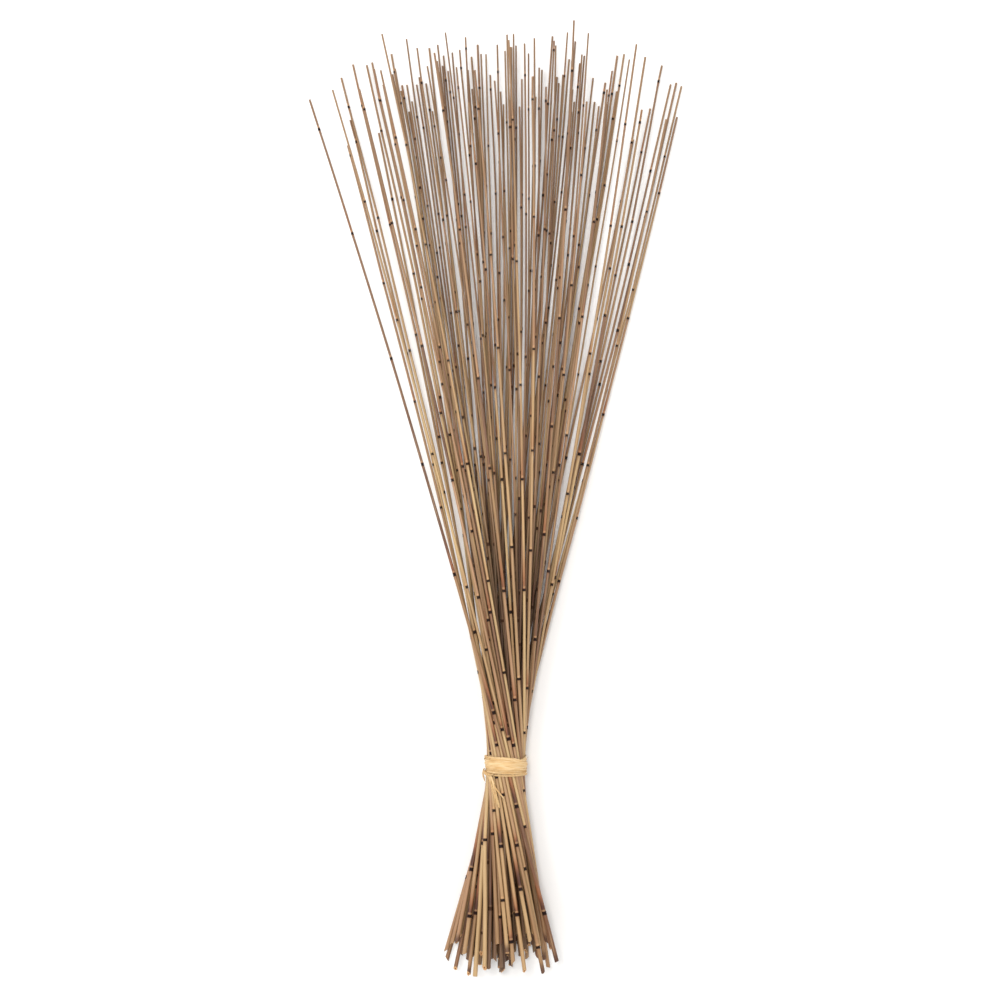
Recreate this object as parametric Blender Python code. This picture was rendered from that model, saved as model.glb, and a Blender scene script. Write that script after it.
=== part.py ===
"""A bunch of dried reeds, tied at the waist with raffia and lying on its side.

Metres, +Z up. The bunch lies along Y on the plane z = 0, its tips towards +Y and its cut butts
towards -Y. The origin is under the middle of the whole bunch.

The reeds are set in a spiral, as in a hand-tied bunch: every reed passes the tie at a slant, so
the bunch is narrow at the tie and opens both ways. The lower reeds are bent up by the surface
that they lie on, and all of them sag a little. Their places are settled section by section, on
planes across the bunch that every reed shares, so two reeds that are clear on those planes and
between them are clear everywhere.
"""

import math

import bmesh
import bpy
import numpy as np
from mathutils import Vector

# Driving dimensions of the bunch
TIE_TO_BUTTS = (0.176, 0.223)  # shortest and longest reed, from the tie to its cut butt
TIE_TO_TIPS = 0.781  # furthest tip, in the middle of the fan
TIPS_FALL = 0.074  # how much nearer the tie the tips are at the fan's two sides
TIPS_UNEVEN = 0.110  # how much nearer still a short reed's tip is
TIPS_SPREAD = (1.0, 1.9)  # shape of that spread: most reeds are nearly full length
SIDE_REEDS = 0.97  # reeds further out than this share of the fan's half width are full length
WAIST_RADIUS = 0.0204  # round the reeds, inside the tie
TIE_HEIGHT = 0.0300  # middle of the tie over the surface
TWIST = 14.3  # slant of a reed at the tie for each metre it lies from the bunch's axis
BUTT_SPLAY = 0.97  # how much of that slant is left below the tie
UPRIGHT_SHARE = 0.62  # how much of that slant is left in height, under the reeds' own weight
SAG = 0.050  # drop of a free tip
SAG_REACH = 0.75  # distance from the tie at which the tip has dropped that far
BOW_SLANT = 0.026  # slant of the bunch's middle line at the tie, towards +X
BOW_BEND = 0.036  # and how it bends back towards -X, for each square metre from the tie
FLOOR_BEND = 0.012  # how softly a reed that meets the surface turns along it
GAP = 0.00035  # between reeds that touch

# How the reeds differ from an even spiral, and how they settle
LEAN_VARIES = 0.010  # spread of the reeds' own slants
LOCKS = 3  # waves of slant that neighbours share, so that the fan falls into locks
LOCK_LEAN = 0.005
LOCK_WIDTH = (0.010, 0.018)  # of a lock, where it passes the tie
PACKING_ROUNDS = 3000  # of pushing the reeds into place at the tie
PACKING_SHAKE = 0.00006
PACKING_CALM = 1.5  # the shaking has died away after one part in this of the rounds
PACKING_PUSH = 0.40
SETTLING_ROUNDS = 3600  # of pushing them apart along their length
SETTLING_PUSH = 0.35
SETTLING_EASE = 0.12  # how far a round straightens the reeds at first
EASE_ENDS = 1 / 2.2  # share of the rounds after which they aren't straightened any more
WEIGHT = 0.0001  # how hard the reeds press down on one another

# Reeds: one that is a solid of its own, and a group of seven that lies inside the bunch
SINGLE_REEDS = 45
INNER_GROUPS = 10
TAPER_AT = (-0.22, 0.0, 0.35, 0.75)  # distances from the tie
SINGLE_RADIUS = (0.00225, 0.00162, 0.00132, 0.00100)
SINGLE_VARIES = (0.92, 1.10)
GROUP_RADIUS = (0.0072, 0.0039, 0.0078, 0.0105)
SINGLE_SIDES = 6
GROUP_SIDES = 8
FIRST_RINGS = ((2, 0.0045), (8, 0.0128), (31, 0.0187), (14, 0.0160))  # how many, how far out

# Planes across the bunch, as distances from the tie
STATIONS = np.array(
    [-0.235, -0.16, -0.08, -0.009, 0.009, 0.08, 0.16, 0.26, 0.37, 0.49, 0.62, 0.80]
)
TIE_PLANES = (3, 4)  # the planes at the two edges of the tie

# Raffia
BAND_WIDTH = 0.0168
BAND_THICKNESS = 0.0021
BAND_CHAMFER = 0.4  # of its thickness
BAND_FACETS = 44
BAND_CHECKS = 72  # directions in which the reeds' reach is measured
KNOT_SIZE = (0.0090, 0.0062, 0.0036)  # round the band, along the bunch, outwards
KNOT_TURN = 52  # degrees from straight up towards -X
KNOT_ALONG = -0.0078  # from the middle of the tie
STRAND_THICKNESS = 0.0009
STRAND_TOP = 0.8  # width of a strand's upper face, as a share of its lower face
RAFFIA_GAP = 0.0003

random = np.random.default_rng(7)


# ---------------------------------------------------------------- layout of the reeds

def ring_of_places(count, radius):
    """Evenly spaced places on a circle round the bunch's axis."""
    angle = np.arange(count) * 2 * math.pi / count
    return radius * np.stack([np.cos(angle), np.sin(angle)], axis=1)


def pair_matrix(first, second, count):
    """Adds each pair's push to its first reed and takes it from its second."""
    matrix = np.zeros((count, len(first)))
    matrix[first, np.arange(len(first))] = 1.0
    matrix[second, np.arange(len(second))] = -1.0
    return matrix


def kept_in_tie(places, radii):
    """Pulls sections at the tie back inside its circle."""
    out = np.maximum(np.hypot(places[:, 0], places[:, 1]), 1e-9)
    return places * np.minimum(1.0, (WAIST_RADIUS - radii) / out)[:, None]


def waist_places(radii, first, second, spread):
    """Packs the reeds side by side inside the tie, the groups in the middle."""
    places = np.vstack([ring_of_places(count, radius) for count, radius in FIRST_RINGS])
    for turn in range(PACKING_ROUNDS):
        shake = PACKING_SHAKE * max(0.0, 1.0 - PACKING_CALM * turn / PACKING_ROUNDS)
        places += random.normal(0.0, shake, places.shape)
        apart = places[first] - places[second]
        distance = np.hypot(apart[:, 0], apart[:, 1])
        short = np.maximum(radii[first] + radii[second] + GAP - distance, 0.0)
        places += PACKING_PUSH * spread @ (apart * (short / distance)[:, None])
        places = kept_in_tie(places, radii)
    return places


def free_paths(waist):
    """Each reed's path if the others and the surface weren't there."""
    lean = random.normal(0.0, LEAN_VARIES, waist.shape)
    for lock in range(LOCKS):
        heading = random.uniform(0.0, 2 * math.pi)
        along = waist @ np.array([math.cos(heading), math.sin(heading)])
        phase = 2 * math.pi * along / random.uniform(*LOCK_WIDTH) + random.uniform(0.0, 2 * math.pi)
        lean += LOCK_LEAN * np.sin(phase)[:, None] * random.normal(0.0, 1.0, 2)
    x, z = waist[:, :1], waist[:, 1:]
    slanted = np.where(STATIONS < 0, BUTT_SPLAY, 1.0) * STATIONS
    across = x + (lean[:, :1] - TWIST * z) * slanted
    height = z + UPRIGHT_SHARE * (lean[:, 1:] + TWIST * x) * slanted
    height += TIE_HEIGHT - SAG * (np.maximum(STATIONS, 0.0) / SAG_REACH) ** 2
    height = (height + np.sqrt(height ** 2 + FLOOR_BEND ** 2)) / 2  # turned along the surface
    return np.stack([across, height], axis=-1)


def straightened(shift):
    """Each plane's shift as its neighbours' shifts would have it, so that reeds bend gently."""
    before = np.diff(STATIONS)[:-1, None]
    after = np.diff(STATIONS)[1:, None]
    eased = shift.copy()
    eased[:, 1:-1] = (shift[:, :-2] * after + shift[:, 2:] * before) / (before + after)
    eased[:, 0] = shift[:, 1] + (shift[:, 1] - shift[:, 2]) * before[0] / after[0]
    eased[:, -1] = shift[:, -2] + (shift[:, -2] - shift[:, -3]) * after[-1] / before[-1]
    return eased


def pushed_apart(paths, radii, first, second, spread):
    """One round of pushing reeds apart where they are tightest between two planes."""
    apart = paths[first] - paths[second]
    step = np.diff(apart, axis=1)
    length = np.maximum(np.sqrt((step ** 2).sum(axis=-1)), 1e-7)
    wide = radii[first] + radii[second]
    widening = np.diff(wide, axis=1)
    # closest approach of the two middles, then moved to where thicker reeds leave less room
    share = -(apart[:, :-1] * step).sum(axis=-1) / length ** 2
    closest = np.sqrt(((apart[:, :-1] + share[..., None] * step) ** 2).sum(axis=-1))
    slack = np.sqrt(np.maximum(length ** 2 - widening ** 2, 1e-14))
    share = np.clip(share + widening * closest / (length * slack), 0.0, 1.0)
    nearest = apart[:, :-1] + share[..., None] * step
    distance = np.maximum(np.sqrt((nearest ** 2).sum(axis=-1)), 1e-7)
    needed = wide[:, :-1] * (1 - share) + wide[:, 1:] * share + GAP
    short = np.maximum(needed - distance, 0.0)
    push = SETTLING_PUSH * nearest * (short / distance)[..., None]
    push /= ((1 - share) ** 2 + share ** 2)[..., None]
    moved = np.zeros_like(paths)
    moved[:, :-1] += np.einsum("rp,psc->rsc", spread, push * (1 - share)[..., None])
    moved[:, 1:] += np.einsum("rp,psc->rsc", spread, push * share[..., None])
    return paths + moved


def settled_paths(radii):
    """Where every reed crosses every plane: (reed, plane, across and height)."""
    count = len(radii)
    first, second = np.triu_indices(count, 1)
    spread = pair_matrix(first, second, count)
    waist_radii = radii[:, TIE_PLANES].mean(axis=1)
    free = free_paths(waist_places(waist_radii, first, second, spread))
    middle = np.array([0.0, TIE_HEIGHT])
    paths = free.copy()
    for turn in range(SETTLING_ROUNDS):
        paths = pushed_apart(paths, radii, first, second, spread)
        ease = SETTLING_EASE * max(0.0, 1.0 - turn / (SETTLING_ROUNDS * EASE_ENDS))
        shift = paths - free
        paths = free + shift + ease * (straightened(shift) - shift)
        paths[..., 1] -= ease * WEIGHT * np.abs(STATIONS)
        paths[..., 1] = np.maximum(paths[..., 1], radii)
        for plane in TIE_PLANES:
            paths[:, plane] = middle + kept_in_tie(paths[:, plane] - middle, radii[:, plane])
    return paths


def section(paths, radii, along):
    """Across, height and radius of every reed on any plane across the bunch."""
    rows = range(len(paths))
    return np.stack([
        [np.interp(along, STATIONS, paths[i, :, 0]) for i in rows],
        [np.interp(along, STATIONS, paths[i, :, 1]) for i in rows],
        [np.interp(along, STATIONS, radii[i]) for i in rows],
    ], axis=1)


# ---------------------------------------------------------------- solids

def material(name, colour, roughness):
    made = bpy.data.materials.new(name)
    made.use_nodes = True
    shader = made.node_tree.nodes["Principled BSDF"]
    shader.inputs["Base Color"].default_value = (*colour, 1.0)
    shader.inputs["Roughness"].default_value = roughness
    return made


def add_object(name, mesh_data, finish, sharp=40.0):
    mesh = bpy.data.meshes.new(name)
    mesh_data.to_mesh(mesh)
    mesh_data.free()
    mesh.materials.append(finish)
    mesh.shade_smooth()
    mesh.set_sharp_from_angle(angle=math.radians(sharp))
    made = bpy.data.objects.new(name, mesh)
    made.location = place
    bpy.context.scene.collection.objects.link(made)
    return made


def closed_loft(rings):
    """A closed tube through rings of equal length, listed with its first end first."""
    solid = bmesh.new()
    loops = [[solid.verts.new(point) for point in ring] for ring in rings]
    sides = len(rings[0])
    for low, high in zip(loops, loops[1:]):
        for k in range(sides):
            solid.faces.new((low[k], low[(k + 1) % sides], high[(k + 1) % sides], high[k]))
    solid.faces.new(loops[0])
    solid.faces.new(loops[-1])
    bmesh.ops.recalc_face_normals(solid, faces=solid.faces)
    return solid


def reed_solid(path, radii, butt, tip, sides):
    """One reed, or one group of reeds: a tapered tube from its cut butt to its tip."""
    inside = STATIONS[(STATIONS > butt) & (STATIONS < tip)]
    rings = []
    for along in (butt, *inside, tip):
        across = np.interp(along, STATIONS, path[:, 0])
        height = np.interp(along, STATIONS, path[:, 1])
        radius = np.interp(along, STATIONS, radii)
        angles = (2 * math.pi * k / sides - math.pi / 2 for k in range(sides))
        rings.append([
            (across + radius * math.cos(a), along, height + radius * math.sin(a)) for a in angles
        ])
    return closed_loft(rings)


def outwards(turn):
    """The direction outwards from the bunch's axis, turned from straight up towards -X."""
    return Vector((-math.sin(turn), 0.0, math.cos(turn)))


def reach(turn, along):
    """How far the reeds reach in that direction from the axis of the tie."""
    sections = section(paths, radii, along)
    out = outwards(turn)
    height = sections[:, 1] - TIE_HEIGHT
    return float((sections[:, 0] * out.x + height * out.z + sections[:, 2]).max())


def band_solid():
    """The turns of raffia as one ring: a flat strip with rounded edges, round the waist."""
    half = BAND_WIDTH / 2
    turns = [2 * math.pi * k / BAND_CHECKS for k in range(BAND_CHECKS)]
    edges = [reach(turn, edge) for turn in turns for edge in (-half, half)]
    inner = max(edges) + RAFFIA_GAP
    outer = inner + BAND_THICKNESS
    chamfer = BAND_CHAMFER * BAND_THICKNESS
    profile = (
        (inner, -half + chamfer / 2), (outer - chamfer, -half), (outer, -half + 2 * chamfer),
        (outer, half - 2 * chamfer), (outer - chamfer, half), (inner, half - chamfer / 2),
    )
    # the ring's facets would cut inside the true circle by this share
    swell = 1 / math.cos(math.pi / BAND_FACETS)
    solid = bmesh.new()
    loops = []
    for k in range(BAND_FACETS):
        out = outwards(2 * math.pi * k / BAND_FACETS) * swell
        loops.append([
            solid.verts.new((out.x * radius, along, TIE_HEIGHT + out.z * radius))
            for radius, along in profile
        ])
    for k in range(BAND_FACETS):
        low, high = loops[k], loops[(k + 1) % BAND_FACETS]
        for i in range(len(profile)):
            j = (i + 1) % len(profile)
            solid.faces.new((low[i], low[j], high[j], high[i]))
    bmesh.ops.recalc_face_normals(solid, faces=solid.faces)
    return solid, outer * swell


def knot_solid(turn, along, resting):
    """The knot: a small flattened lump that sits on the band's edge."""
    solid = bmesh.new()
    bmesh.ops.create_icosphere(solid, subdivisions=2, radius=0.5)
    out = outwards(turn)
    round_band = Vector((out.z, 0.0, -out.x))
    middle = Vector((0.0, along, TIE_HEIGHT)) + out * (resting + RAFFIA_GAP + KNOT_SIZE[2] / 2)
    for vert in solid.verts:
        x, y, z = vert.co
        vert.co = (
            middle + round_band * (x * KNOT_SIZE[0]) + out * (z * KNOT_SIZE[2])
            + Vector((0.0, y * KNOT_SIZE[1], 0.0))
        )
    bmesh.ops.recalc_face_normals(solid, faces=solid.faces)
    return solid


def strand_solid(stops):
    """A flat strand laid over the reeds. Each stop is (turn, along, width, extra height)."""
    rings = []
    for turn, along, width, lift in stops:
        turn = math.radians(turn)
        out = outwards(turn)
        across = Vector((out.z, 0.0, -out.x)) * (width / 2)
        low = Vector((0.0, along, TIE_HEIGHT))
        low += out * (reach(turn, along) + RAFFIA_GAP + lift)
        high = low + out * STRAND_THICKNESS
        top = across * STRAND_TOP
        rings.append([low - across, low + across, high + top, high - top])
    return closed_loft(rings)


# ---------------------------------------------------------------- the bunch

for old in list(bpy.data.objects):
    bpy.data.objects.remove(old)

sizes = random.uniform(*SINGLE_VARIES, SINGLE_REEDS)
group_radii = np.interp(STATIONS, TAPER_AT, GROUP_RADIUS)
single_radii = np.interp(STATIONS, TAPER_AT, SINGLE_RADIUS)
radii = np.vstack([np.tile(group_radii, (INNER_GROUPS, 1)), sizes[:, None] * single_radii])
paths = settled_paths(radii)

# Where each reed starts and ends along Y. The tips at the fan's sides lie nearer the tie, and
# all of a group's reeds end inside its solid, so the groups and the widest reeds are full length.
side = np.abs(paths[:, -1, 0]) / np.abs(paths[:, -1, 0]).max()
unevenness = random.beta(*TIPS_SPREAD, len(paths))
unevenness[:INNER_GROUPS] = 0.0
unevenness[side > SIDE_REEDS] = 0.0
tips = TIE_TO_TIPS - TIPS_FALL * side ** 3 - TIPS_UNEVEN * unevenness
slant = np.hypot(*(paths[:, 0] - paths[:, TIE_PLANES[0]]).T) / -STATIONS[0]
butts = -random.uniform(*TIE_TO_BUTTS, len(paths)) / np.sqrt(1 + slant ** 2)

# The whole bunch bends a little, all its reeds alike
paths[..., 0] += BOW_SLANT * STATIONS - BOW_BEND * STATIONS ** 2

# The whole bunch is set down with the origin under the middle of its box
ends = [section(paths, radii, along)[i] for i, along in enumerate(tips)]
ends += [section(paths, radii, along)[i] for i, along in enumerate(butts)]
lowest = min(across - radius for across, _, radius in ends)
highest = max(across + radius for across, _, radius in ends)
place = Vector((-(lowest + highest) / 2, -(butts.min() + tips.max()) / 2, 0.0))

reed_finish = material("reed", (0.50, 0.33, 0.18), 0.5)
inner_finish = material("inner_reed", (0.40, 0.27, 0.15), 0.55)
raffia_finish = material("raffia", (0.83, 0.58, 0.30), 0.6)

for i in range(INNER_GROUPS):
    solid = reed_solid(paths[i], radii[i], butts[i], tips[i], GROUP_SIDES)
    add_object(f"inner_reeds_{i + 1:02d}", solid, inner_finish)

for i in range(INNER_GROUPS, len(paths)):
    solid = reed_solid(paths[i], radii[i], butts[i], tips[i], SINGLE_SIDES)
    add_object(f"reed_{i - INNER_GROUPS + 1:02d}", solid, reed_finish)

band, band_radius = band_solid()
add_object("raffia_band", band, raffia_finish)
add_object("raffia_knot", knot_solid(math.radians(KNOT_TURN), KNOT_ALONG, band_radius), raffia_finish)

# The ends of the strip, as (turn in degrees, along the bunch, width, height over the reeds)
main_tail = (
    (50, -0.0118, 0.0050, 0.0012), (44, -0.0165, 0.0052, 0.0004), (36, -0.0225, 0.0058, 0.0),
    (29, -0.0310, 0.0056, 0.0), (23, -0.0390, 0.0052, 0.0), (19, -0.0450, 0.0044, 0.0),
)
fork_tail = (
    (24.5, -0.0236, 0.0016, 0.0), (19, -0.0270, 0.0016, 0.0), (12, -0.0310, 0.0015, 0.0),
    (6.5, -0.0345, 0.0012, 0.0),
)
short_tail = (
    (73, -0.0092, 0.0020, 0.0006), (74, -0.0130, 0.0020, 0.0004), (72, -0.0185, 0.0014, 0.0002),
)
add_object("raffia_tail_main", strand_solid(main_tail), raffia_finish)
add_object("raffia_tail_fork", strand_solid(fork_tail), raffia_finish)
add_object("raffia_tail_short", strand_solid(short_tail), raffia_finish)
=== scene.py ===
import math

import bpy
import numpy as np
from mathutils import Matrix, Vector


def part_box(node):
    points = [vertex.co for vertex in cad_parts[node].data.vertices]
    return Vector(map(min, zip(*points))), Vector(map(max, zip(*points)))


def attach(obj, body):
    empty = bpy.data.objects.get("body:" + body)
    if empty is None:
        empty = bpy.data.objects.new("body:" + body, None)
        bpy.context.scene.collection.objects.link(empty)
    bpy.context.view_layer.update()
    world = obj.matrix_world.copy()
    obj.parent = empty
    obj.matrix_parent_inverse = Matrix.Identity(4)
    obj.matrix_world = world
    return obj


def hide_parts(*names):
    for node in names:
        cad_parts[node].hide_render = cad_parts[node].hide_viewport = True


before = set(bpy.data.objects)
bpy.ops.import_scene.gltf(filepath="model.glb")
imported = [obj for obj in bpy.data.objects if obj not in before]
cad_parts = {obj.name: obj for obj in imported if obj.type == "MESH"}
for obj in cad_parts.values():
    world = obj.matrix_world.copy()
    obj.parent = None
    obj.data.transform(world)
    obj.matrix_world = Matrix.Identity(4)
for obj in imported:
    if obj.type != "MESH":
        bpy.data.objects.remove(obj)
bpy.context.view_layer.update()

# Stage: the bunch lies on a pale seamless floor that turns up far behind it, under a soft light from
# the upper left, one from overhead, a weaker one from the right and an even pale surround. The camera
# looks straight down on it, with the tips at the top of the view.
FLOOR_DROP = 0.0002
FLOOR_FLAT = 9.0
FLOOR_CURVE = 5.0
FLOOR_RINGS = 14
FLOOR_SIDES = 72

rings = [(0.0, -FLOOR_DROP), (FLOOR_FLAT * 0.5, -FLOOR_DROP), (FLOOR_FLAT, -FLOOR_DROP)]
for step in range(1, FLOOR_RINGS + 1):
    turn = math.pi / 2 * step / FLOOR_RINGS
    rings.append((FLOOR_FLAT + FLOOR_CURVE * math.sin(turn), FLOOR_CURVE * (1 - math.cos(turn)) - FLOOR_DROP))
corners = [(0.0, 0.0, -FLOOR_DROP)]
for radius, height in rings[1:]:
    for side in range(FLOOR_SIDES):
        angle = 2 * math.pi * side / FLOOR_SIDES
        corners.append((radius * math.cos(angle), radius * math.sin(angle), height))
faces = [(0, 1 + side, 1 + (side + 1) % FLOOR_SIDES) for side in range(FLOOR_SIDES)]
for ring in range(len(rings) - 2):
    inner, outer = 1 + ring * FLOOR_SIDES, 1 + (ring + 1) * FLOOR_SIDES
    for side in range(FLOOR_SIDES):
        after = (side + 1) % FLOOR_SIDES
        faces.append((inner + side, outer + side, outer + after, inner + after))
floor_mesh = bpy.data.meshes.new("floor")
floor_mesh.from_pydata(corners, [], faces)
floor_mesh.shade_smooth()
floor = bpy.data.objects.new("floor", floor_mesh)
bpy.context.scene.collection.objects.link(floor)

paper = bpy.data.materials.new("white_paper")
paper.use_nodes = True
paper_surface = paper.node_tree.nodes["Principled BSDF"]
paper_surface.inputs["Base Color"].default_value = (0.93, 0.93, 0.93, 1.0)
paper_surface.inputs["Roughness"].default_value = 0.9
paper_surface.inputs["Specular IOR Level"].default_value = 0.1
floor_mesh.materials.append(paper)

surround = bpy.data.worlds.new("surround")
surround.use_nodes = True
surround.node_tree.nodes["Background"].inputs["Color"].default_value = (1.0, 0.995, 0.985, 1.0)
surround.node_tree.nodes["Background"].inputs["Strength"].default_value = 0.80
bpy.context.scene.world = surround


def soft_light(name, place, aim, width, power):
    """A square studio light at place, turned to face aim."""
    lamp = bpy.data.lights.new(name, "AREA")
    lamp.size = width
    lamp.energy = power
    lamp.color = (1.0, 0.985, 0.96)
    light = bpy.data.objects.new(name, lamp)
    light.location = place
    light.rotation_mode = "QUATERNION"
    light.rotation_quaternion = (Vector(aim) - Vector(place)).to_track_quat("-Z", "Y")
    bpy.context.scene.collection.objects.link(light)


soft_light("key_light", (-1.5, 1.0, 2.3), (0.0, 0.0, 0.0), 1.4, 32.0)
soft_light("top_light", (-0.3, 0.3, 3.3), (0.0, 0.0, 0.0), 0.6, 42.0)
soft_light("side_light", (2.2, -0.6, 1.8), (0.0, 0.0, 0.0), 1.4, 10.0)

LENS = 100.0
VIEW_WIDTH = 1.058
SENSOR = 36.0
MEAN_HEIGHT = 0.035
VIEW_SHIFT = 0.0048

lens = bpy.data.cameras.new("camera")
lens.lens = LENS
lens.sensor_width = SENSOR
lens.clip_end = 60.0
camera = bpy.data.objects.new("camera", lens)
camera.location = (VIEW_SHIFT, 0.0, MEAN_HEIGHT + VIEW_WIDTH * LENS / SENSOR)
bpy.context.scene.collection.objects.link(camera)
bpy.context.scene.camera = camera
bpy.context.scene.view_settings.view_transform = "Standard"

# Reeds: dried jointed culms about a metre long, hollow, cut across at the butt with a knife and
# trimmed at the tip. Each one follows its own rod of the frame, so it crosses the waist under the
# raffia and leans out into the fan; joints every hand's length carry a dark ring and a low ridge.
tie_low, tie_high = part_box("raffia_band")
tie = (tie_low + tie_high) / 2
JOINT_SPACING = (0.092, 0.155)
JOINT_RINGS = (-9, -5, -2.9, -2.0, -1.3, -0.6, 0.0, 0.6, 1.3, 2.0, 2.9, 5, 9)
RIDGE_APART = 1.3
RIDGE_WIDTH = 0.62
RIDGE_HEIGHT = (0.00020, 0.00036)
BLUSH_LENGTH = (0.006, 0.038)
STRONG_BLUSH = 0.36
RING_STEP = 0.021
SIDES = 12
EXTRA_AT_TIE = 0.00013
EXTRA_REACH = 0.05
MAX_WOBBLE = 0.0011
WOBBLE_FROM = 0.03
WOBBLE_OVER = 0.35
PAST_ENDS = 0.05
JOINT_TO_BUTT = 0.012
JOINT_TO_TIP = 0.008
BUTT_RINGS = (0.0035, 0.007)
TIP_RING = 0.0025
NEAR_JOINT = 0.0095
JOINT_REACH = 0.05
CLOSEST_AT_JOINT = 0.0004
CLOSEST = 0.006
CLEAR_OF_TIP = 0.0018
CLEAR_OF_BUTT = 0.003
SWELLING = 0.045
NECKING = 0.035
BESIDE_JOINT = 3.4
SWELL_WIDTH = 3.2
NECK_WIDTH = 1.8
TONE_CHANGE = 0.16
DARK_SHARE = 0.035
CUT_SLOPE = (0.1, 1.3)
TIP_SLOPE = 0.35
TIP_RAGGEDNESS = 0.12
RAGGEDNESS = (0.3, 0.6, 1.4, 4.5)
chance = np.random.default_rng(23)


def rod_rings(node):
    """Where a frame rod's rings are along the bunch, with their centres and radii, from butt to tip."""
    points = np.array([tuple(v.co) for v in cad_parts[node].data.vertices])
    along = np.round(points[:, 1], 5)
    stations = np.unique(along)
    centres, radii = [], []
    for station in stations:
        ring = np.unique(np.round(points[along == station], 6), axis=0)
        centre = ring.mean(axis=0)
        centres.append(centre)
        radii.append(np.linalg.norm(ring - centre, axis=1).max())
    return np.array(stations), np.array(centres), np.array(radii)


def through(stations, values, at):
    """A smooth line through the points at the stations, read at other places along it."""
    gaps = np.diff(stations)[:, None]
    rises = np.diff(values, axis=0) / gaps
    slopes = np.empty_like(values)
    slopes[0], slopes[-1] = rises[0], rises[-1]
    slopes[1:-1] = (rises[:-1] * gaps[1:] + rises[1:] * gaps[:-1]) / (gaps[1:] + gaps[:-1])
    left = np.clip(np.searchsorted(stations, at, side="right") - 1, 0, len(gaps) - 1)
    gap = gaps[left]
    share = (at - stations[left])[:, None] / gap
    rest = 1 - share
    return (
        values[left] * (1 + 2 * share) * rest**2
        + values[left + 1] * (3 - 2 * share) * share**2
        + slopes[left] * gap * share * rest**2
        - slopes[left + 1] * gap * share**2 * rest
    )


def joints_between(butt, tip):
    """Where a culm's joints are along the bunch."""
    places = [butt + chance.uniform(JOINT_TO_BUTT, JOINT_SPACING[1])]
    while places[-1] < tip:
        places.append(places[-1] + chance.uniform(*JOINT_SPACING))
    return np.array([p for p in places if butt + JOINT_TO_BUTT < p < tip - JOINT_TO_TIP])


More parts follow.
